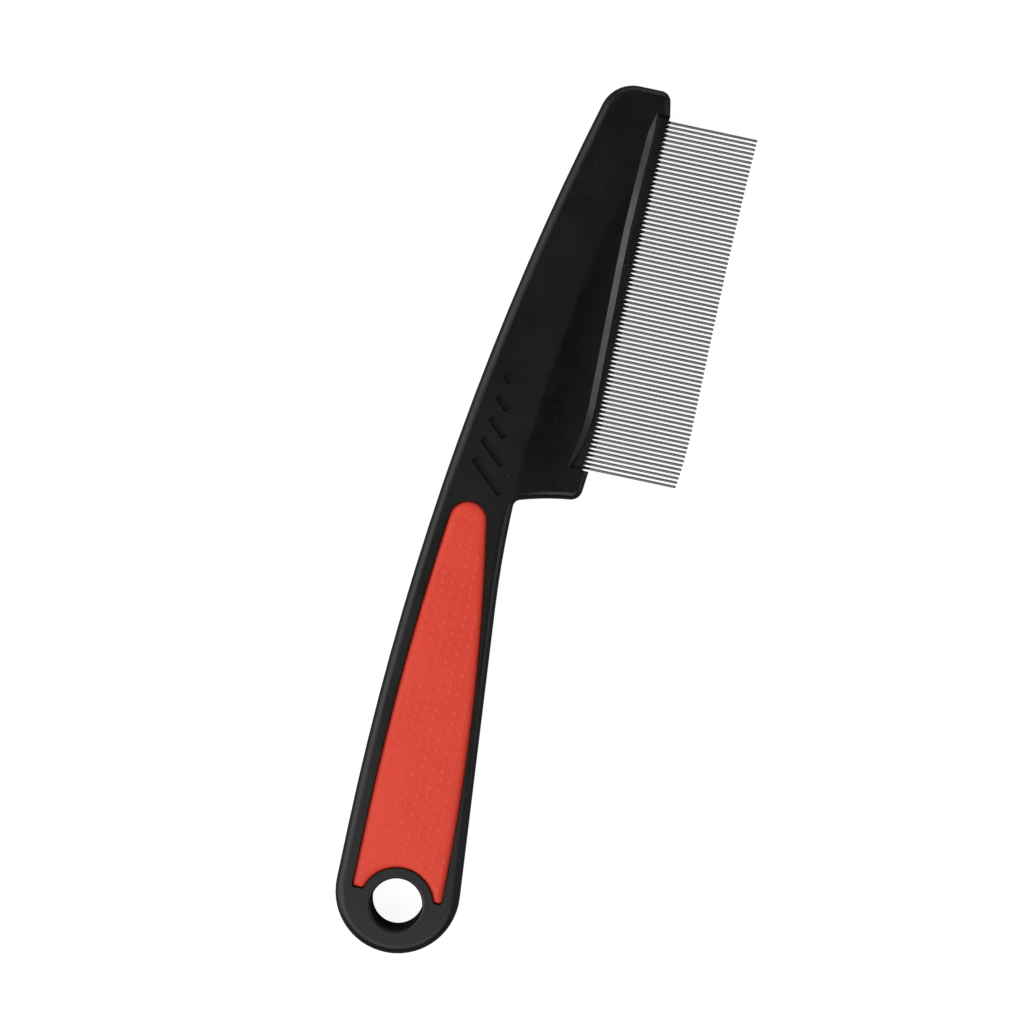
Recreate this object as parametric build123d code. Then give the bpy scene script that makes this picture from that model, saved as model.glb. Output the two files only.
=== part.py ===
from build123d import *
import math
import os

# Flea comb, in millimetres. It lies flat, with +Y from the hang hole to the head's tip, the pins pointing
# to +X and +Z out of the front face. The origin is the hang hole's centre at mid thickness.

# Handle
body_thickness = 10.0
edge_radius = 2.0  # rounding along the handle's and the spine's edges
end_radius = 13.8  # round end of the handle
end_centre_x = -0.3
end_centre_y = 2.7
hang_hole_radius = 5.7
hang_hole_rim = 0.6
neck_edge_x = 6.85  # the neck's straight edge, on the pins' side
neck_corner_y = 92.5  # the inner corner between the neck and the head
neck_straight = 14.5  # from the waist up to the inner corner
waist_radius = 232.0  # gentle bend between the tapered handle and the straight neck
neck_corner_radius = 1.8
spine_straight_y = 14.2  # the back edge is straight up to here, and one long arc above

# Steel pins
pin_count = 80
pin_pitch = 1.0
pin_diameter = 0.6
pin_length = 25.0
pin_embed = 5.3  # below the points of the bar's teeth
pins_per_group = 5

# Pin bar
bar_thickness = 3.1
bar_back_x = 15.2
bar_end_margin = 0.75  # beyond the first and last pins
bar_fit = 0.05  # bonding gap between the bar and the head's slot
tooth_depth = 1.7
tooth_land = 0.16  # width of a tooth's blunt point
tooth_cover = 0.8  # plastic over the pin at a tooth's point
bore_fit = 0.02  # bonding gap around a pin

# Front edge of the head: a straight row that falls back at the heel and steps forward at the toe
row_edge_x = 22.6  # points of the bar's teeth
heel_sweep = 0.9
heel_reach = 14.0
toe_sweep = 0.8
toe_reach = 40.0
lip_setback = 2.2  # from the tooth points back to the lips of the head's slot
lip_heel_sweep = 2.5
lip_land = 0.3  # flat end of each lip
lip_rise = 1.0  # height of the lip's bevel at the first pin
bevel_angle = 60.0
crest_width = 1.4  # flat that breaks the edge where the bevels meet the faces
crest_least = 0.15  # what is left of its width at the two ends of the row
crest_run = 7.0  # over which it grows from either end

# Head
heel_length = 10.4  # from the neck's inner corner to the first pin
toe_length = 6.1  # from the last pin to the tip
tip_thickness = 8.2
tip_back_x = 9.1
tip_front_x = 21.95
tip_back_radius = 7.5
tip_front_radius = 2.4
heel_front_x = 21.0
heel_drop = 3.0  # height of the heel's front corner above the neck's inner corner
heel_belly = 0.45  # bulge of the heel's lower edge
heel_corner_radius = 2.6
heel_edge_radius = 1.6
hollow_reach = 12.6  # the blade's hollow is this wide at the first pin, from its lowest line to the flat
hollow_setback = 3.6  # from the tooth points back to the hollow's lowest line
hollow_runout = 13.7  # the hollow ends this far below the last pin
overlap = 1.5  # how far the spine and the blade run into each other
seam_bend = 12.2  # the seam between them bends this far below the hollow's end

# Soft grips
grip_depth = 1.6
grip_fit = 0.08  # parting gap between a grip and its pocket
grip_margin = 3.6  # from the handle's edges to the grip
grip_foot_y = 1.9
grip_side_radius = 480.0  # the grip's slightly bowed side, towards the pins
grip_nose_gap = 1.7  # from the grip's nose to the height of the neck's inner corner
grip_nose_radius = 4.3
grip_apex_rise = 20.9  # the grip's sides would meet this far above its nose
grip_ring = 2.35  # plastic left between the hang hole and the grip
grip_lobe_radius = 0.8
lobe_share = 0.4  # a lobe's corner takes at most this share of the wall beside the hang hole
grip_crown_radius = 150.0
grip_rim_radius = 0.5
rim_share = 0.8  # and the rim's rounding at most this share of a lobe's corner
peg_radius = 1.5
peg_length = 1.8
peg_fit = 0.05
peg_heights = (21.2, 44.2, 67.2)

# Slanted recesses in the neck, from the grip upwards
recess_lengths = (10.0, 7.5, 5.5, 4.0, 2.1)
recess_width = 1.8
recess_depth = 1.2
recess_pitch = 5.5
recess_start = 4.0  # from the neck's inner corner to the first recess
recess_slant = -43.0
recess_corner = 0.45

# Sizes that follow
half = body_thickness / 2
row_start = neck_corner_y + heel_length
row_end = row_start + (pin_count - 1) * pin_pitch
window_start = row_start - bar_end_margin
window_end = row_end + bar_end_margin
tip_y = row_end + toe_length
spine_x = end_centre_x - end_radius
spine_run = tip_back_x - spine_x
spine_radius = (spine_run**2 + (tip_y - spine_straight_y) ** 2) / (2 * spine_run)
lip_half = bar_thickness / 2 + bar_fit + lip_land
hollow_depth = half - lip_half - lip_rise  # at the first pin
hollow_radius = hollow_reach**2 / (2 * hollow_depth)
hollow_x = row_edge_x - hollow_setback
hollow_end = row_end - hollow_runout
hollow_slope = hollow_depth / (hollow_end - row_start)
slab_drop = (body_thickness - tip_thickness) / 2
slab_radius = ((tip_y - neck_corner_y) ** 2 + slab_drop**2) / (2 * slab_drop)
far = 3 * body_thickness  # cutting tools reach this far past the part
long = 4 * tip_y  # and long cylinders are this long


def lines_through(*points):
    """Straight edges from each point to the next."""
    return [Line(a, b) for a, b in zip(points, points[1:])]


def rounded(face, *corners):
    """The face with each (point, radius) corner rounded."""
    for point, radius in corners:
        nearest = min(face.vertices(), key=lambda v: math.hypot(v.X - point[0], v.Y - point[1]))
        face = fillet(nearest, radius)
    return face


def both_faces(tool):
    """A tool for the front face, with its mirror image for the back face."""
    return [tool, mirror(tool, Plane.XY)]


def spine_edge_x(y):
    """The back edge of the comb at a height y."""
    rise = max(0.0, y - spine_straight_y)
    return spine_x + spine_radius - math.sqrt(spine_radius**2 - rise**2)


def handle_tangent():
    """Where the tapered side of the handle leaves its round end."""
    run = neck_edge_x - end_centre_x
    rise = neck_corner_y - neck_straight - end_centre_y
    angle = math.atan2(rise, run) - math.acos(end_radius / math.hypot(run, rise))
    return (end_centre_x + end_radius * math.cos(angle), end_centre_y + end_radius * math.sin(angle))


def row_sweep(y, heel):
    """How far the head's front edge leaves its straight line at a height y."""
    fall = max(0.0, (row_start + heel_reach - y) / heel_reach)
    step = max(0.0, (y - row_end + toe_reach) / toe_reach)
    return toe_sweep * step**2 - heel * fall**2


def tooth_x(y):
    """The points of the bar's teeth."""
    return row_edge_x + row_sweep(y, heel_sweep)


def lip_x(y):
    """The lips of the head's slot."""
    return row_edge_x - lip_setback + row_sweep(y, lip_heel_sweep)


def crease_x(y):
    """Where the blade's hollow meets the flat of the head."""
    depth = max(0.0, hollow_slope * (hollow_end - y))
    return hollow_x - math.sqrt(2 * hollow_radius * depth)


def loft_along_row(section, start, end, stations=25):
    """A solid along the row, where section(y) gives the (x, z) corners of its outline at a height y."""
    heights = [start + (end - start) * i / (stations - 1) for i in range(stations)]
    outlines = []
    for y in heights:
        corners = [(x, y, z) for x, z in section(y)]
        outlines.append(make_face(Polyline(*corners, close=True)))
    return loft(outlines)


def head_slab():
    """The room between the front and back faces: flat over the handle, thinning to the tip."""
    tip = tip_thickness / 2
    low = -2 * end_radius
    high = tip_y
    profile = make_face(
        lines_through((0, neck_corner_y, -half), (0, low, -half), (0, low, half), (0, neck_corner_y, half))
        + [
            TangentArc((0, neck_corner_y, half), (0, high, tip), tangent=(0, 1, 0)),
            Line((0, high, tip), (0, high, -tip)),
            TangentArc((0, neck_corner_y, -half), (0, high, -tip), tangent=(0, 1, 0)),
        ]
    )
    return extrude(profile, amount=2 * far, both=True)


def long_edges(solid):
    """The edges where a solid's side walls meet its front and back faces."""
    walls = [face for face in solid.faces() if abs(face.normal_at().Z) < 0.1]
    return [edge for wall in walls for edge in wall.edges() if abs((edge @ 0.5).Z) > half / 4]


def spine_solid(slab):
    """Handle, spine and tip. Its inner side lies inside the blade and stays sharp there."""
    tangent = handle_tangent()
    waist = (neck_edge_x, neck_corner_y - neck_straight)
    neck_top = (neck_edge_x, neck_corner_y + 2 * overlap)
    toe = (tooth_x(row_end - overlap), row_end - overlap)
    join_heights = (neck_top[1], row_start + heel_reach, hollow_end - seam_bend, hollow_end + overlap)
    inner = [(crease_x(y) - overlap, y) for y in join_heights]
    inner.append((toe[0], hollow_end + overlap))
    tip_front = (tip_front_x, tip_y)
    tip_back = (tip_back_x, tip_y)
    round_end = ThreePointArc(
        (spine_x, end_centre_y), (end_centre_x, end_centre_y - end_radius), tangent
    )
    outline = make_face(
        [round_end]
        + lines_through(tangent, waist, neck_top, *inner, toe, tip_front, tip_back)
        + [TangentArc((spine_x, spine_straight_y), tip_back, tangent=(0, 1))]
        + lines_through((spine_x, spine_straight_y), (spine_x, end_centre_y))
    )
    outline = rounded(
        outline, (waist, waist_radius), (tip_front, tip_front_radius), (tip_back, tip_back_radius)
    )
    solid = extrude(outline, amount=body_thickness, both=True) & slab
    edges = []
    for edge in long_edges(solid):
        middle = edge @ 0.5
        beside_blade = neck_top[1] - 0.1 < middle.Y < toe[1] + 0.1
        if not beside_blade or middle.X < spine_edge_x(middle.Y) + overlap:
            edges.append(edge)
    return fillet(edges, edge_radius)


def hollow_cylinder(side):
    """The cylinder that hollows one face of the blade, deeper towards the heel."""
    lowest = Vector(hollow_x, row_start, side * (half - hollow_depth))
    axis = Vector(0, 1, side * hollow_slope).normalized()
    away = Vector(0, -side * hollow_slope, 1).normalized() * side
    start = lowest + away * hollow_radius - axis * (long / 2)
    return Plane(origin=start, z_dir=axis).location * Solid.make_cylinder(hollow_radius, long)


def blade_solid(slab):
    """The hollow-ground part of the head, with the heel below the row."""
    neck_low = (neck_edge_x, neck_corner_y - neck_corner_radius * 2)
    neck = (neck_edge_x, neck_corner_y)
    heel_front = (heel_front_x, neck_corner_y + heel_drop)
    belly = ((neck[0] + heel_front[0]) / 2, (neck[1] + heel_front[1]) / 2 + heel_belly)
    row_low = (tooth_x(row_start + overlap), row_start + overlap)
    row_high = (row_edge_x, hollow_end + 2 * overlap)
    join_heights = (row_high[1], hollow_end - seam_bend, row_start + heel_reach, neck_low[1])
    inner = [(crease_x(y) - 2 * overlap, y) for y in join_heights]
    outline = make_face(
        [Line(neck_low, neck), ThreePointArc(neck, belly, heel_front)]
        + lines_through(heel_front, row_low, row_high, *inner, neck_low)
    )
    outline = rounded(outline, (neck, neck_corner_radius), (heel_front, heel_corner_radius))
    solid = extrude(outline, amount=2 * half, both=True) - hollow_cylinder(1) - hollow_cylinder(-1)
    edges = []
    for edge in long_edges(solid):
        middle = edge @ 0.5
        if neck_low[1] < middle.Y < row_low[1] - 0.1 and middle.X > neck_edge_x - 0.01:
            edges.append(edge)
    return fillet(edges, heel_edge_radius) & slab


def face_height(x, y):
    """Height of the head's front face: the flat that thins to the tip, or the blade's hollow."""
    flat = half - (slab_radius - math.sqrt(slab_radius**2 - (y - neck_corner_y) ** 2))
    hollow = half - hollow_slope * (hollow_end - y) + (x - hollow_x) ** 2 / (2 * hollow_radius)
    return min(flat, hollow)


def crest_point(y):
    """Where the lip's bevel would meet the face in a sharp edge."""
    x = lip_x(y)
    for _ in range(5):
        x = lip_x(y) - (face_height(x, y) - lip_half) / math.tan(math.radians(bevel_angle))
    return x, face_height(x, y)


def crest_width_at(y):
    """The width of the crest in plan, which fades out towards both ends of the row."""
    missing = max(0.0, 1 - min(y - window_start, window_end - y) / crest_run)
    return crest_least + (crest_width - crest_least) * (1 - missing**2)


def row_window():
    """The opening for the bar between heel and toe, with the bevels and crests of the head's two lips."""

    def section(y):
        crest_x, crest_z = crest_point(y)
        turn = math.radians(bevel_angle)
        down_bevel = crest_width_at(y) / (1 + 1 / math.cos(turn))
        along_face = down_bevel / math.cos(turn)
        break_low = (crest_x + down_bevel, crest_z - down_bevel * math.tan(turn))
        break_high = (crest_x - along_face, crest_z)
        outline = [(lip_x(y), lip_half), break_low, break_high, (break_high[0], far), (far, far)]
        return outline + [(x, -z) for x, z in reversed(outline)]

    return loft_along_row(section, window_start, window_end)


def with_hang_hole(body):
    """The body with its hang hole, rounded at both rims."""
    body = body - Cylinder(hang_hole_radius, far)
    circles = [edge for edge in body.edges() if edge.geom_type == GeomType.CIRCLE]
    rims = [edge for edge in circles if abs(edge.radius - hang_hole_radius) < 0.001]
    return fillet(rims, hang_hole_rim)


def bar_slot():
    """The slot in the head that the bar is bonded into."""
    back = bar_back_x - bar_fit
    middle = (window_start + window_end) / 2
    slot = Box(far, window_end - window_start, bar_thickness + 2 * bar_fit)
    return Pos(back + far / 2, middle, 0) * slot


def lobe_radii():
    """Corner radii of a grip's two lobes, each limited by the width that the hang hole leaves it."""
    ring_radius = hang_hole_radius + grip_ring
    ring_x = math.sqrt(ring_radius**2 - grip_foot_y**2)
    back_wall = -(spine_x + grip_margin) - ring_x
    front_wall = handle_tangent()[0] - grip_margin - ring_x
    return [min(grip_lobe_radius, lobe_share * wall) for wall in (back_wall, front_wall)]


def grip_outline():
    """Plan of a soft grip: it tapers to a round nose and ends in two lobes beside the hang hole."""
    back_x = spine_x + grip_margin
    front_x = handle_tangent()[0] - grip_margin
    apex_y = neck_corner_y - grip_nose_gap + grip_apex_rise
    apex = (spine_edge_x(apex_y) + grip_margin, apex_y)
    foot_back = (back_x, grip_foot_y)
    foot_front = (front_x, grip_foot_y)
    bend = (back_x, spine_straight_y)
    outline = make_face(
        [
            Line(foot_back, bend),
            TangentArc(bend, apex, tangent=(0, 1)),
            RadiusArc(apex, foot_front, grip_side_radius),
            Line(foot_front, foot_back),
        ]
    )
    outline = rounded(outline, (apex, grip_nose_radius))
    outline = outline - Circle(hang_hole_radius + grip_ring)
    for side, radius in zip((-1, 1), lobe_radii()):
        corners = [v for v in outline.vertices() if abs(v.Y - grip_foot_y) < 0.01 and v.X * side > 0]
        outline = fillet(corners, radius)
    return outline


def peg_places():
    """Centres of the locating pegs, midway between the sides of the grip."""
    outline = grip_outline()
    places = []
    for y in peg_heights:
        strip = outline & Pos(0, y) * Rectangle(4 * end_radius, 1)
        places.append((strip.center().X, y))
    return places


def crown_cylinder():
    """The large cylinder that gives a grip its slight crown along its middle line."""
    first = peg_places()[0]
    last = peg_places()[-1]
    along = Vector(last[0] - first[0], last[1] - first[1], 0).normalized()
    start = Vector(first[0], first[1], half - grip_crown_radius) - along * (long / 2)
    return Plane(origin=start, z_dir=along).location * Solid.make_cylinder(grip_crown_radius, long)


def front_grip():
    """A soft grip with a crowned face, a rounded rim and locating pegs behind."""
    floor = half - grip_depth
    pad = Pos(0, 0, floor) * extrude(grip_outline(), amount=grip_depth) & crown_cylinder()
    crowned = max(pad.faces(), key=lambda face: face.center().Z)
    pad = fillet(crowned.edges(), min(grip_rim_radius, rim_share * min(lobe_radii())))
    for x, y in peg_places():
        pad = pad + Pos(x, y, floor - peg_length / 2) * Cylinder(peg_radius, peg_length)
    return pad


def front_pocket():
    """The pocket for the front grip, with the sockets for its pegs."""
    floor = half - grip_depth
    pocket = Pos(0, 0, floor) * extrude(offset(grip_outline(), amount=grip_fit), amount=far)
    depth = peg_length + peg_fit
    for x, y in peg_places():
        pocket = pocket + Pos(x, y, floor - depth / 2) * Cylinder(peg_radius + peg_fit, depth)
    return pocket


def front_recesses():
    """The row of slanted recesses in the neck."""
    tools = []
    for step, length in enumerate(recess_lengths):
        y = neck_corner_y + recess_start + step * recess_pitch
        plan = RectangleRounded(length, recess_width, recess_corner)
        tools.append(Pos(0, y, half - recess_depth) * Rot(0, 0, recess_slant) * extrude(plan, amount=far))
    return tools


def handle_body():
    """The moulded body: handle, spine, tip, heel and blade in one piece."""
    slab = head_slab()
    body = spine_solid(slab) + blade_solid(slab)
    body = with_hang_hole(body - row_window())
    body = body - bar_slot() - both_faces(front_pocket())
    for recess in front_recesses():
        body = body - both_faces(recess)
    return body


def pin_places():
    """Where each pin leaves the point of its tooth."""
    heights = [row_start + i * pin_pitch for i in range(pin_count)]
    return [(tooth_x(y), y) for y in heights]


def tooth_notch(y):
    """The V between two teeth, cut through the bar."""
    root = tooth_x(y) - tooth_depth
    slope = (pin_pitch - tooth_land) / 2 / tooth_depth
    mouth = 2 * tooth_depth
    corners = [(root, y), (root + mouth, y - slope * mouth), (root + mouth, y + slope * mouth)]
    return extrude(make_face(Polyline(*corners, close=True)), amount=bar_thickness, both=True)


def pin_bar():
    """The bar that carries the pins, with one pointed tooth round each pin."""
    thick = bar_thickness / 2
    point = pin_diameter / 2 + tooth_cover

    def section(y):
        front, back = [(tooth_x(y), point), (lip_x(y), thick)], (bar_back_x, thick)
        upper = [*front, back]
        return upper + [(x, -z) for x, z in reversed(upper)]

    bar = loft_along_row(section, window_start + bar_fit, window_end - bar_fit)
    bar = bar - [tooth_notch(row_start + (i - 0.5) * pin_pitch) for i in range(pin_count + 1)]
    bore = Rot(0, 90, 0) * Cylinder(pin_diameter / 2 + bore_fit, 2 * pin_embed)
    return bar - [Pos(x, y, 0) * bore for x, y in pin_places()]


def comb_pin(x, y):
    """One straight steel pin with a rounded tip, bonded into its tooth at x, y."""
    radius = pin_diameter / 2
    shaft_length = pin_length - radius
    shaft = Cylinder(radius, shaft_length, align=(Align.CENTER, Align.CENTER, Align.MIN))
    pin = shaft + Pos(0, 0, shaft_length) * Sphere(radius)
    return Pos(x - pin_embed, y, 0) * Rot(0, 90, 0) * pin


def pin_groups():
    """The pins in neighbouring groups, each group a set of separate solids."""
    places = pin_places()
    groups = [places[i : i + pins_per_group] for i in range(0, pin_count, pins_per_group)]
    return [Compound(children=[comb_pin(x, y) for x, y in group]) for group in groups]


def main():
    os.makedirs("parts", exist_ok=True)
    grip = front_grip()
    parts = {
        "handle_body": handle_body(),
        "front_grip": grip,
        "back_grip": mirror(grip, Plane.XY),
        "pin_bar": pin_bar(),
    }
    for number, group in enumerate(pin_groups(), start=1):
        parts[f"comb_pins_{number:02d}"] = group
    for name, shape in parts.items():
        export_step(shape, f"parts/{name}.step")


main()
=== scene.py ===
import math

import bpy
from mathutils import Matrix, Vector
from mathutils.bvhtree import BVHTree


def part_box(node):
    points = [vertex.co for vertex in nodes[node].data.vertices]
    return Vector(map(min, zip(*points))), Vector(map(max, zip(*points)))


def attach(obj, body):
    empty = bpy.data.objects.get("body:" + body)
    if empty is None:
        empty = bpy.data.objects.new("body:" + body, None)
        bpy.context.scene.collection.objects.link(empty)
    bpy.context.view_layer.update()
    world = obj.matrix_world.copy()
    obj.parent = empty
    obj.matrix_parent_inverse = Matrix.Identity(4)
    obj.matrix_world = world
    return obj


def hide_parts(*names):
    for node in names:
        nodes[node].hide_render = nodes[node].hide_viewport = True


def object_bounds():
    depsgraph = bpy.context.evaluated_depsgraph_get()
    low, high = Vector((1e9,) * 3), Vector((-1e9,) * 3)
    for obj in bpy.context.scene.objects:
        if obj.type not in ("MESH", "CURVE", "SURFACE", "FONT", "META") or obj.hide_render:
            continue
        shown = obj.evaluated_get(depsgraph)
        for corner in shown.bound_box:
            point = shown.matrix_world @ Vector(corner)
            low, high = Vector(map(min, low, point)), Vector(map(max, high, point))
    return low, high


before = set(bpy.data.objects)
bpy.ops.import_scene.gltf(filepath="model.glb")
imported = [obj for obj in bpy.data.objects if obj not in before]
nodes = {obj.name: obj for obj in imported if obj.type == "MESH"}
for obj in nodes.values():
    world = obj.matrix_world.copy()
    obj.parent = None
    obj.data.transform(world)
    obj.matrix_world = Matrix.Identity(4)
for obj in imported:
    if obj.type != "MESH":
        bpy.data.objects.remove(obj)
cad_low, cad_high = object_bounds()


# Handle body: handle, spine, heel and blade are one injection moulding in black ABS.
# The mould is spark-eroded, which leaves an even satin grain, and it is polished where the
# blade is hollowed out. Hands and pockets leave faint smears and rubbed edges on it, and its edges are also
# lightened with a painted sheen.

def add_node(tree, kind, inputs=(), **settings):
    """A shader node with its settings made and each (socket, value or link) input filled."""
    node = tree.nodes.new(kind)
    for name, value in settings.items():
        setattr(node, name, value)
    for socket, value in dict(inputs).items():
        if isinstance(value, bpy.types.NodeSocket):
            tree.links.new(value, node.inputs[socket])
        else:
            node.inputs[socket].default_value = value
    return node


def math_node(tree, operation, first, second=0.0):
    """The value of a Math node."""
    return add_node(tree, "ShaderNodeMath", {0: first, 1: second}, operation=operation).outputs[0]


def remap(tree, value, low, high, new_low=0.0, new_high=1.0):
    """The value carried smoothly from one range to another."""
    inputs = {"Value": value, "From Min": low, "From Max": high, "To Min": new_low, "To Max": new_high}
    return add_node(tree, "ShaderNodeMapRange", inputs, interpolation_type="SMOOTHSTEP").outputs[0]


def mix_color(tree, factor, first, second):
    """The first colour going over to the second as the factor rises."""
    return add_node(tree, "ShaderNodeMix", {0: factor, 6: first, 7: second}, data_type="RGBA").outputs[2]


def object_place(tree, turn=(0.0, 0.0, 0.0), stretch=(1.0, 1.0, 1.0)):
    """Object coordinates, turned and stretched for a pattern."""
    place = add_node(tree, "ShaderNodeTexCoord").outputs["Object"]
    inputs = {"Vector": place, "Rotation": turn, "Scale": stretch}
    return add_node(tree, "ShaderNodeMapping", inputs).outputs[0]


def noise(tree, place, cell, detail=2.0, roughness=0.5):
    """Soft noise with cells of a size in metres."""
    inputs = {"Vector": place, "Scale": 1 / cell, "Detail": detail, "Roughness": roughness}
    return add_node(tree, "ShaderNodeTexNoise", inputs).outputs["Fac"]


def new_group(name, inputs, outputs):
    """An empty shader group with named number sockets, with its input and output nodes."""
    tree = bpy.data.node_groups.new(name, "ShaderNodeTree")
    for socket, default in inputs.items():
        made = tree.interface.new_socket(socket, in_out="INPUT", socket_type="NodeSocketFloat")
        made.default_value = default
    for socket in outputs:
        tree.interface.new_socket(socket, in_out="OUTPUT", socket_type="NodeSocketFloat")
    return tree, tree.nodes.new("NodeGroupInput").outputs, tree.nodes.new("NodeGroupOutput").inputs


def moulded_grain_group():
    """The fine pitted grain that a spark-eroded mould leaves: Height for a Bump node."""
    tree, given, result = new_group("moulded_grain", {"Cells per metre": 4000.0, "Depth": 1.0}, ["Height"])
    place = object_place(tree)
    fine = {"Vector": place, "Scale": given["Cells per metre"], "Detail": 3.0, "Roughness": 0.6}
    swell = add_node(tree, "ShaderNodeTexNoise", fine).outputs["Fac"]
    pits = {"Vector": place, "Scale": given["Cells per metre"]}
    cells = add_node(tree, "ShaderNodeTexVoronoi", pits, feature="SMOOTH_F1").outputs["Distance"]
    both = math_node(tree, "ADD", swell, math_node(tree, "MULTIPLY", cells, 0.5))
    tree.links.new(math_node(tree, "MULTIPLY", both, given["Depth"]), result["Height"])
    return tree


def handling_group():
    """Smears, faint scratches and settled dust: a Roughness for the shader and a Dust mask."""
    tree, given, result = new_group(
        "handling", {"Roughness": 0.4, "Spread": 0.1, "Dust": 0.1}, ["Roughness", "Dust", "Scratches"]
    )
    smears = noise(tree, object_place(tree), 0.009, detail=3.0, roughness=0.6)
    smears = remap(tree, smears, 0.3, 0.7, -0.5, 0.5)
    drawn_out = object_place(tree, turn=(0.0, 0.0, 0.5), stretch=(14.0, 1.0, 6.0))
    strokes = noise(tree, drawn_out, 0.012, detail=4.0)
    scratches = remap(tree, strokes, 0.63, 0.72)
    uneven = math_node(tree, "ADD", smears, math_node(tree, "MULTIPLY", scratches, 0.4))
    rough = math_node(tree, "ADD", given["Roughness"], math_node(tree, "MULTIPLY", uneven, given["Spread"]))
    tree.links.new(rough, result["Roughness"])
    tree.links.new(scratches, result["Scratches"])
    specks = remap(tree, noise(tree, object_place(tree), 0.0006, detail=1.0), 0.68, 0.76)
    cloud = remap(tree, noise(tree, object_place(tree), 0.02), 0.4, 0.7)
    dust = math_node(tree, "MULTIPLY", math_node(tree, "MULTIPLY", specks, cloud), given["Dust"])
    tree.links.new(dust, result["Dust"])
    return tree


def edge_rub_and_sheen_group():
    """Where edges have been rubbed and carry a painted sheen: a Mask that is 1 along them and 0 on the faces.
    """
    tree, given, result = new_group("edge_rub_and_sheen", {"Width": 0.0005}, ["Mask"])
    plain = add_node(tree, "ShaderNodeNewGeometry").outputs["Normal"]
    softened = add_node(tree, "ShaderNodeBevel", {"Radius": given["Width"]}, samples=4).outputs[0]
    same = add_node(tree, "ShaderNodeVectorMath", {0: plain, 1: softened}, operation="DOT_PRODUCT")
    edge = remap(tree, same.outputs["Value"], 0.97, 0.8)
    patchy = remap(tree, noise(tree, object_place(tree), 0.002, detail=3.0), 0.35, 0.65)
    tree.links.new(math_node(tree, "MULTIPLY", edge, patchy), result["Mask"])
    return tree


moulded_grain = moulded_grain_group()
handling = handling_group()
edge_rub_and_sheen = edge_rub_and_sheen_group()


def place_group(tree, group, **values):
    """A shared group placed in a material with that material's own values."""
    node = tree.nodes.new("ShaderNodeGroup")
    node.node_tree = group
    for name, value in values.items():
        node.inputs[name.replace("_", " ")].default_value = value
    return node.outputs


def new_material(name):
    """An empty material, its node tree and its Principled shader joined to the output."""
    material = bpy.data.materials.new(name)
    material.use_nodes = True
    tree = material.node_tree
    tree.nodes.clear()
    shader = tree.nodes.new("ShaderNodeBsdfPrincipled")
    output = tree.nodes.new("ShaderNodeOutputMaterial")
    tree.links.new(shader.outputs[0], output.inputs[0])
    return material, tree, shader


def finish_node(node, material):
    """Gives a CAD node its material."""
    nodes[node].data.materials.clear()
    nodes[node].data.materials.append(material)


hollow_width = 0.0126  # at the first pin, from the hollow's lowest line to the flat
hollow_x = 0.019  # its lowest line
hollow_end_y = 0.1682  # it runs out here
hollow_run = 0.0653  # after this far from the first pin
seam_softness = 0.00002  # square metres, in the seam's curve
heel_fade = (0.46 * cad_high.y, 0.56 * cad_high.y)  # the polish begins between these, at the heel


def hollow_mask(tree):
    """1 in the blade's hollow, which narrows to a point towards the toe, and 0 on the flats."""
    place = add_node(tree, "ShaderNodeSeparateXYZ", {0: object_place(tree)}).outputs
    inside = math_node(tree, "MAXIMUM", math_node(tree, "SUBTRACT", hollow_x, place["X"]), 0.0)
    share = math_node(tree, "DIVIDE", math_node(tree, "SUBTRACT", hollow_end_y, place["Y"]), hollow_run)
    reach = math_node(tree, "MULTIPLY", math_node(tree, "MAXIMUM", share, 0.0), hollow_width**2)
    left = math_node(tree, "SUBTRACT", reach, math_node(tree, "MULTIPLY", inside, inside))
    above_heel = remap(tree, place["Y"], *heel_fade)
    return math_node(tree, "MULTIPLY", remap(tree, left, 0.0, seam_softness), above_heel)


def black_abs():
    """Satin black moulded plastic, glossier in the blade's polished hollow, where a painted bluish reflection
    tints it.
    """
    material, tree, shader = new_material("black_abs")
    tone = remap(tree, noise(tree, object_place(tree), 0.015), 0.3, 0.7)
    plastic = mix_color(tree, tone, (0.0022, 0.0022, 0.0018, 1), (0.0032, 0.0031, 0.0026, 1))
    hollow = hollow_mask(tree)
    # painted reflection: the hollow's colour is tinted blue, standing in for what its glossy slope reflects
    plastic = mix_color(tree, hollow, plastic, (0.0016, 0.0016, 0.0040, 1))
    marks = place_group(tree, handling, Roughness=0.37, Spread=0.08, Dust=0.25)
    rub_and_sheen = place_group(tree, edge_rub_and_sheen, Width=0.0004)
    # edges lightened: partly rub wear, partly a painted edge sheen
    worn_and_sheen = mix_color(tree, math_node(tree, "MULTIPLY", rub_and_sheen["Mask"], 0.3), plastic, (0.02, 0.02, 0.02, 1))
    dusty = mix_color(tree, marks["Dust"], worn_and_sheen, (0.10, 0.095, 0.09, 1))
    tree.links.new(dusty, shader.inputs["Base Color"])
    gloss = math_node(tree, "MULTIPLY", hollow, 0.1)
    polished = math_node(tree, "SUBTRACT", marks["Roughness"], gloss)
    tree.links.new(polished, shader.inputs["Roughness"])
    grain = place_group(tree, moulded_grain, Cells_per_metre=5500.0, Depth=1.0)
    scratch_depth = math_node(tree, "MULTIPLY", marks["Scratches"], 0.4)
    height = math_node(tree, "SUBTRACT", grain["Height"], scratch_depth)
    bump = add_node(tree, "ShaderNodeBump", {"Height": height, "Strength": 0.5, "Distance": 0.00002})
    tree.links.new(bump.outputs[0], shader.inputs["Normal"])
    return material


finish_node("handle_body", black_abs())


# Pin bar: a second moulding in black plastic, bonded into the head's slot. It has one pointed
# tooth round each pin, and comes from a polished mould; its material here is a little rougher than the
# body's.

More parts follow.
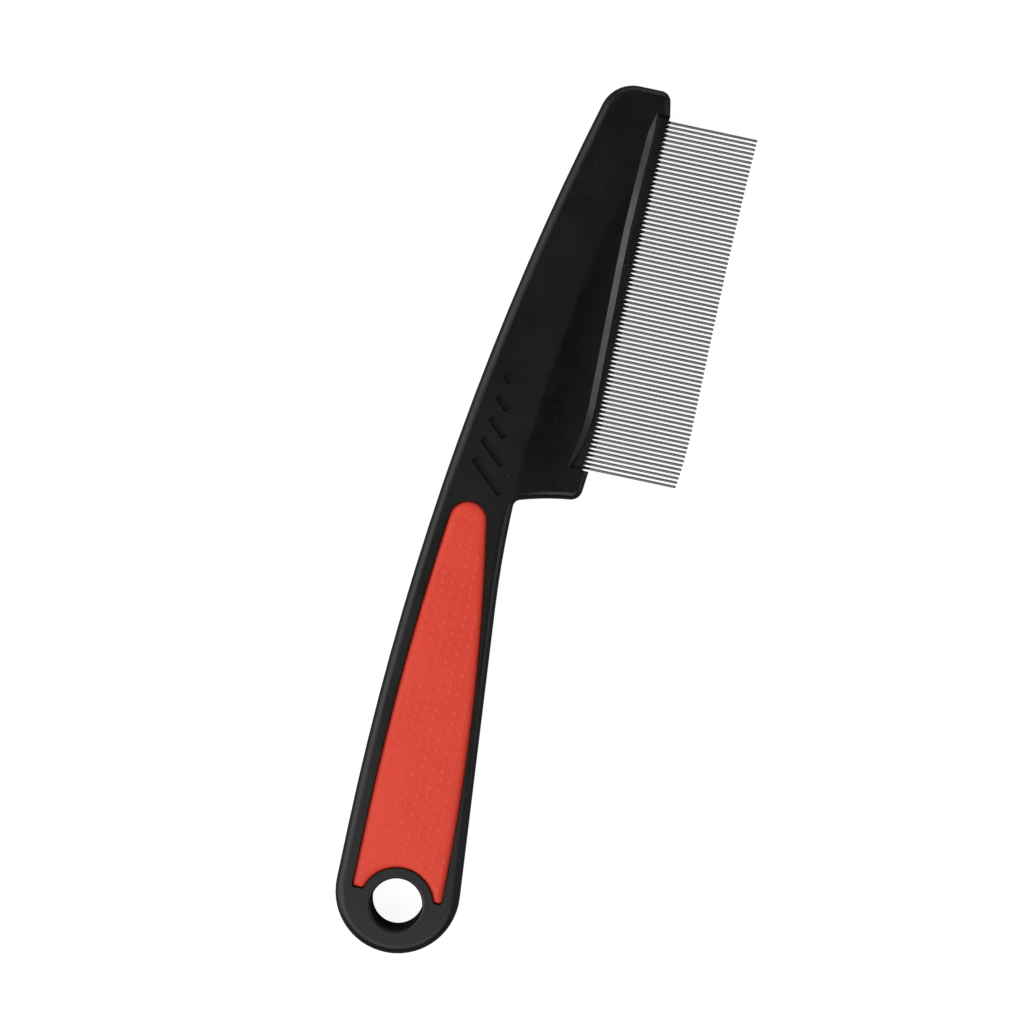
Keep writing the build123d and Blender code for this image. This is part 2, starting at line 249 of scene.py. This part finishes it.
def bar_plastic():
    """Half-gloss black plastic."""
    material, tree, shader = new_material("bar_plastic")
    tone = remap(tree, noise(tree, object_place(tree), 0.006), 0.3, 0.7)
    plastic = mix_color(tree, tone, (0.0026, 0.0025, 0.0034, 1), (0.0036, 0.0034, 0.0046, 1))
    marks = place_group(tree, handling, Roughness=0.42, Spread=0.08, Dust=0.3)
    rub_and_sheen = place_group(tree, edge_rub_and_sheen, Width=0.0002)
    # edges lightened: partly rub wear, partly a painted edge sheen
    worn_and_sheen = mix_color(tree, math_node(tree, "MULTIPLY", rub_and_sheen["Mask"], 0.3), plastic, (0.03, 0.03, 0.03, 1))
    dusty = mix_color(tree, marks["Dust"], worn_and_sheen, (0.12, 0.115, 0.11, 1))
    tree.links.new(dusty, shader.inputs["Base Color"])
    tree.links.new(marks["Roughness"], shader.inputs["Roughness"])
    grain = place_group(tree, moulded_grain, Cells_per_metre=7000.0, Depth=1.0)
    bump = add_node(tree, "ShaderNodeBump", {"Height": grain["Height"], "Strength": 0.3, "Distance": 0.00001})
    tree.links.new(bump.outputs[0], shader.inputs["Normal"])
    return material


finish_node("pin_bar", bar_plastic())


# Pins: straight lengths of drawn stainless wire with rounded tips, bonded into the bar's teeth.
# Drawing leaves fine lines along the wire, and no two pins are quite equally bright.

pins_in_group = 5
pin_groups = sorted(name for name in nodes if name.startswith("comb_pins"))
first_low, first_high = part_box(pin_groups[0])
second_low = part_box(pin_groups[1])[0]
pin_pitch = (second_low.y - first_low.y) / pins_in_group
pin_thickness = first_high.z - first_low.z


def pin_steel():
    """Bright drawn wire, each pin with a tone of its own."""
    material, tree, shader = new_material("pin_steel")
    split = add_node(tree, "ShaderNodeSeparateXYZ", {0: object_place(tree)})
    first_edge = first_low.y + pin_thickness / 2 - pin_pitch / 2
    along_row = math_node(tree, "SUBTRACT", split.outputs["Y"], first_edge)
    number = math_node(tree, "FLOOR", math_node(tree, "DIVIDE", along_row, pin_pitch))
    chance = add_node(tree, "ShaderNodeTexWhiteNoise", {"W": number}, noise_dimensions="1D").outputs["Value"]
    lines = noise(tree, object_place(tree, stretch=(0.03, 1.0, 1.0)), 0.00006, detail=2.0)
    whole_pin = math_node(tree, "MULTIPLY", chance, 0.6)
    tone = math_node(tree, "ADD", whole_pin, math_node(tree, "MULTIPLY", lines, 0.4))
    steel = mix_color(tree, tone, (0.26, 0.245, 0.255, 1), (0.38, 0.36, 0.37, 1))
    tree.links.new(steel, shader.inputs["Base Color"])
    shader.inputs["Metallic"].default_value = 1.0
    tree.links.new(remap(tree, tone, 0.2, 0.8, 0.24, 0.36), shader.inputs["Roughness"])
    bump = add_node(tree, "ShaderNodeBump", {"Height": lines, "Strength": 0.3, "Distance": 0.000004})
    tree.links.new(bump.outputs[0], shader.inputs["Normal"])
    return material


steel = pin_steel()
for group in pin_groups:
    finish_node(group, steel)


# Grips: two soft pads in red elastomer, pressed into pockets in the handle's two faces, with pegs
# behind. Each has a crowned face that rounds over into its pocket, and rows of low raised dots
# for hold. The pads are moulded alike, so the back one is a mirrored copy of the front one.

pad_thickness = 0.0016
pad_voxel = 0.00025  # the pad's mesh is made even at this size
pad_side_lean = 0.2  # a side's normal leans up or down by less than this
rim_width = 0.0018  # the face rounds over this far in from the edge
rim_fall = 0.0006  # and drops this much at the edge
dot_pitch = 0.00215
dot_radius = 0.00047
dot_height = 0.00006
dot_sink = 0.00004  # a dot's foot lies this deep in the face
dot_room = 0.0001  # the face lies this much lower, so that the dots stay within the pad's thickness
dot_margin = 0.0014  # from the edge of the pad to the outermost dots
dot_ground_level = 0.97  # dots stand only where the face is this nearly level
dot_corners = 12
dome_steps = ((0.35, 1.0), (0.35, 0.88), (0.2, 0.72), (0.1, 0.5))  # share of the rise, then narrowing
merge_distance = 0.000002


def select_only(piece):
    """Makes a piece the one selected and active object."""
    bpy.ops.object.select_all(action="DESELECT")
    piece.select_set(True)
    bpy.context.view_layer.objects.active = piece


def merged_copy(node, name):
    """A piece of its own with the shape of a CAD node, its loose triangles merged."""
    piece = bpy.data.objects.new(name, nodes[node].data.copy())
    bpy.context.collection.objects.link(piece)
    select_only(piece)
    bpy.ops.mesh.customdata_custom_splitnormals_clear()
    bpy.ops.object.mode_set(mode="EDIT")
    bpy.ops.mesh.select_all(action="SELECT")
    bpy.ops.mesh.remove_doubles(threshold=merge_distance)
    bpy.ops.mesh.normals_make_consistent(inside=False)
    bpy.ops.object.mode_set(mode="OBJECT")
    piece.data.materials.clear()
    return piece


def pad_sides(pad, floor_z):
    """The upright sides of a pad, without its pegs', to measure distances from."""
    corners = [vertex.co.copy() for vertex in pad.data.vertices]
    sides = []
    for face in pad.data.polygons:
        if abs(face.normal.z) < pad_side_lean and face.center.z > floor_z:
            sides.append(tuple(face.vertices))
    return BVHTree.FromPolygons(corners, sides)


def one_dot():
    """A low dome with a closed, slightly sunk foot."""
    bpy.ops.object.select_all(action="DESELECT")
    bpy.ops.mesh.primitive_circle_add(vertices=dot_corners, radius=dot_radius, fill_type="NGON")
    dot = bpy.context.active_object
    bpy.ops.object.mode_set(mode="EDIT")
    bpy.ops.mesh.select_all(action="SELECT")
    for rise, shrink in dome_steps:
        bpy.ops.mesh.extrude_region_move(
            TRANSFORM_OT_translate={"value": (0, 0, rise * (dot_height + dot_sink))}
        )
        bpy.ops.transform.resize(value=(shrink, shrink, 1.0))
    bpy.ops.mesh.select_all(action="SELECT")
    bpy.ops.mesh.normals_make_consistent(inside=False)
    bpy.ops.object.mode_set(mode="OBJECT")
    raised = dot.data.attributes.new("raised", "FLOAT", "POINT")
    for value in raised.data:
        value.value = 1.0
    return dot


def add_dots(pad, sides, middle_z):
    """Rows of dots over a pad's face, square to the comb, a margin clear of its edge."""
    dot = one_dot()
    low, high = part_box("front_grip")
    columns = int((high.x - low.x) / dot_pitch) + 1
    rows = int((high.y - low.y) / dot_pitch) + 1
    first_x = (low.x + high.x) / 2 - columns / 2 * dot_pitch
    dots = []
    for column in range(columns + 1):
        for row in range(rows):
            x = first_x + column * dot_pitch
            y = low.y + (row + 0.5) * dot_pitch
            hit, place, normal, _ = pad.ray_cast(Vector((x, y, 2 * high.z)), Vector((0, 0, -1)))
            inset = sides.find_nearest(Vector((x, y, middle_z)))[3]
            if hit and normal.z > dot_ground_level and inset > dot_margin:
                copy = dot.copy()
                copy.data = dot.data.copy()
                copy.location = place - Vector((0, 0, dot_sink))
                bpy.context.collection.objects.link(copy)
                dots.append(copy)
    select_only(pad)
    for copy in dots:
        copy.select_set(True)
    bpy.ops.object.join()
    bpy.data.objects.remove(dot)


def front_pad():
    """The front pad: even mesh, rounded rim, dots."""
    pad = merged_copy("front_grip", "grip_pad_front")
    top_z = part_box("front_grip")[1].z
    pocket_z = top_z - pad_thickness
    sides = pad_sides(pad, pocket_z)
    middle_z = pocket_z + pad_thickness / 2
    remesh = pad.modifiers.new("even", "REMESH")
    remesh.mode = "VOXEL"
    remesh.voxel_size = pad_voxel
    bpy.ops.object.modifier_apply(modifier="even")
    for vertex in pad.data.vertices:
        if vertex.co.z > pocket_z:
            inset = sides.find_nearest(Vector((vertex.co.x, vertex.co.y, middle_z)))[3]
            fall = dot_room + rim_fall * max(0.0, 1 - inset / rim_width) ** 2
            vertex.co.z -= fall * (vertex.co.z - pocket_z) / pad_thickness
    add_dots(pad, sides, middle_z)
    bpy.ops.object.shade_smooth()
    return pad


def mirrored_pad(pad, name):
    """The same pad on the handle's other face."""
    other = pad.copy()
    other.data = pad.data.copy()
    other.name = name
    bpy.context.collection.objects.link(other)
    select_only(other)
    bpy.ops.object.mode_set(mode="EDIT")
    bpy.ops.mesh.select_all(action="SELECT")
    bpy.ops.transform.resize(value=(1, 1, -1), center_override=(0, 0, 0))
    bpy.ops.mesh.normals_make_consistent(inside=False)
    bpy.ops.object.mode_set(mode="OBJECT")
    return other


def red_elastomer():
    """Matte soft rubber, a little paler on the raised dots."""
    material, tree, shader = new_material("red_elastomer")
    tone = remap(tree, noise(tree, object_place(tree), 0.008, detail=3.0), 0.3, 0.7)
    rubber = mix_color(tree, tone, (0.93, 0.060, 0.026, 1), (0.96, 0.068, 0.031, 1))
    marks = place_group(tree, handling, Roughness=0.58, Spread=0.1, Dust=0.3)
    raised = add_node(tree, "ShaderNodeAttribute", attribute_name="raised").outputs["Fac"]
    rubber = mix_color(tree, raised, rubber, (0.96, 0.086, 0.046, 1))
    dusty = mix_color(tree, marks["Dust"], rubber, (0.85, 0.35, 0.28, 1))
    tree.links.new(dusty, shader.inputs["Base Color"])
    tree.links.new(marks["Roughness"], shader.inputs["Roughness"])
    grain = place_group(tree, moulded_grain, Cells_per_metre=4500.0, Depth=1.0)
    soft_grain = {"Height": grain["Height"], "Strength": 0.5, "Distance": 0.00003}
    bump = add_node(tree, "ShaderNodeBump", soft_grain)
    tree.links.new(bump.outputs[0], shader.inputs["Normal"])
    return material


front_piece = front_pad()
back_piece = mirrored_pad(front_piece, "grip_pad_back")
rubber = red_elastomer()
for piece, node in ((front_piece, "front_grip"), (back_piece, "back_grip")):
    piece.data.materials.append(rubber)
    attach(piece, "root")
    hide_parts(node)


# Studio: a wide white table, large soft lights round the comb with the dimmest part overhead,
# and a camera straight above.

floor_gap = 0.0001  # below the comb
floor_radius = 4.0
camera_height = 0.491
camera_turn = math.radians(12.05)
camera_lens = 77.6
aim = Vector((0.0069, 0.0899, 0.0))


def seen_directly(tree):
    """1 where the camera looks straight at a surface, 0 in reflections and for lighting."""
    return tree.nodes.new("ShaderNodeLightPath").outputs["Is Camera Ray"]


def studio_floor(height):
    """The table top: white to the eye, and dim enough to keep the comb's lower edges dark."""
    bpy.ops.object.select_all(action="DESELECT")
    bpy.ops.mesh.primitive_circle_add(
        vertices=96, radius=floor_radius, fill_type="NGON", location=(0, 0, height)
    )
    floor = bpy.context.active_object
    floor.name = "studio_floor"
    bpy.ops.object.transform_apply(location=True, rotation=True, scale=True)
    material, tree, shader = new_material("table_top")
    fibres = remap(tree, noise(tree, object_place(tree), 0.002, detail=3.0), 0.3, 0.7)
    paper = mix_color(tree, fibres, (0.28, 0.28, 0.28, 1), (0.30, 0.30, 0.30, 1))
    tree.links.new(paper, shader.inputs["Base Color"])
    shader.inputs["Roughness"].default_value = 0.9
    shader.inputs["Specular IOR Level"].default_value = 0.0
    glow = mix_color(tree, seen_directly(tree), (0.0, 0.0, 0.0, 1), (0.93, 0.93, 0.925, 1))
    tree.links.new(glow, shader.inputs["Emission Color"])
    shader.inputs["Emission Strength"].default_value = 1.0
    floor.data.materials.append(material)


def softbox(name, centre, away, azimuth, elevation, width, height, radiance, tint=(1, 1, 1)):
    """A large soft light, turned to a point on the comb."""
    light = bpy.data.lights.new(name, "AREA")
    light.shape = "RECTANGLE"
    light.size = width
    light.size_y = height
    light.energy = radiance * math.pi * width * height
    light.color = tint
    lamp = bpy.data.objects.new(name, light)
    bpy.context.collection.objects.link(lamp)
    azimuth = math.radians(azimuth)
    elevation = math.radians(elevation)
    flat = math.cos(elevation)
    direction = Vector((flat * math.sin(azimuth), flat * math.cos(azimuth), math.sin(elevation)))
    lamp.location = centre + direction * away
    lamp.rotation_euler = direction.to_track_quat("Z", "Y").to_euler()
    lamp.visible_camera = False


def studio_world():
    """Pale behind the table to the eye, and a dim even light for the comb."""
    world = bpy.data.worlds.new("studio")
    bpy.context.scene.world = world
    world.use_nodes = True
    tree = world.node_tree
    shade = mix_color(tree, seen_directly(tree), (0.07, 0.07, 0.07, 1), (0.97, 0.97, 0.965, 1))
    tree.links.new(shade, tree.nodes["Background"].inputs["Color"])


studio_floor(cad_low.z - floor_gap)
middle = (cad_low + cad_high) / 2
# name, centre, distance, azimuth and elevation in degrees, width, height, radiance
softbox("left_wall", middle, 0.7, -95, 34, 1.1, 0.75, 1.62)
softbox("foot_wall", middle, 0.7, 180, 56, 0.8, 0.36, 1.7)
softbox("head_wall", middle, 0.7, 0, 18, 0.7, 0.3, 1.0)
softbox("right_wall", middle, 0.8, 90, 20, 0.9, 0.35, 0.36)
softbox("top_panel", middle, 1.2, 90, 88, 0.4, 0.4, 0.15)
blade = (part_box("pin_bar")[0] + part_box("pin_bar")[1]) / 2
softbox("blade_strip", blade, 0.5, 82, 30, 0.17, 0.24, 2.9, tint=(0.92, 0.93, 1.0))
studio_world()

camera_data = bpy.data.cameras.new("camera")
camera_data.lens = camera_lens
camera = bpy.data.objects.new("camera", camera_data)
bpy.context.collection.objects.link(camera)
camera.location = aim + Vector((0, 0, camera_height))
camera.rotation_euler = (0, 0, camera_turn)
bpy.context.scene.camera = camera
bpy.context.scene.view_settings.view_transform = "Standard"
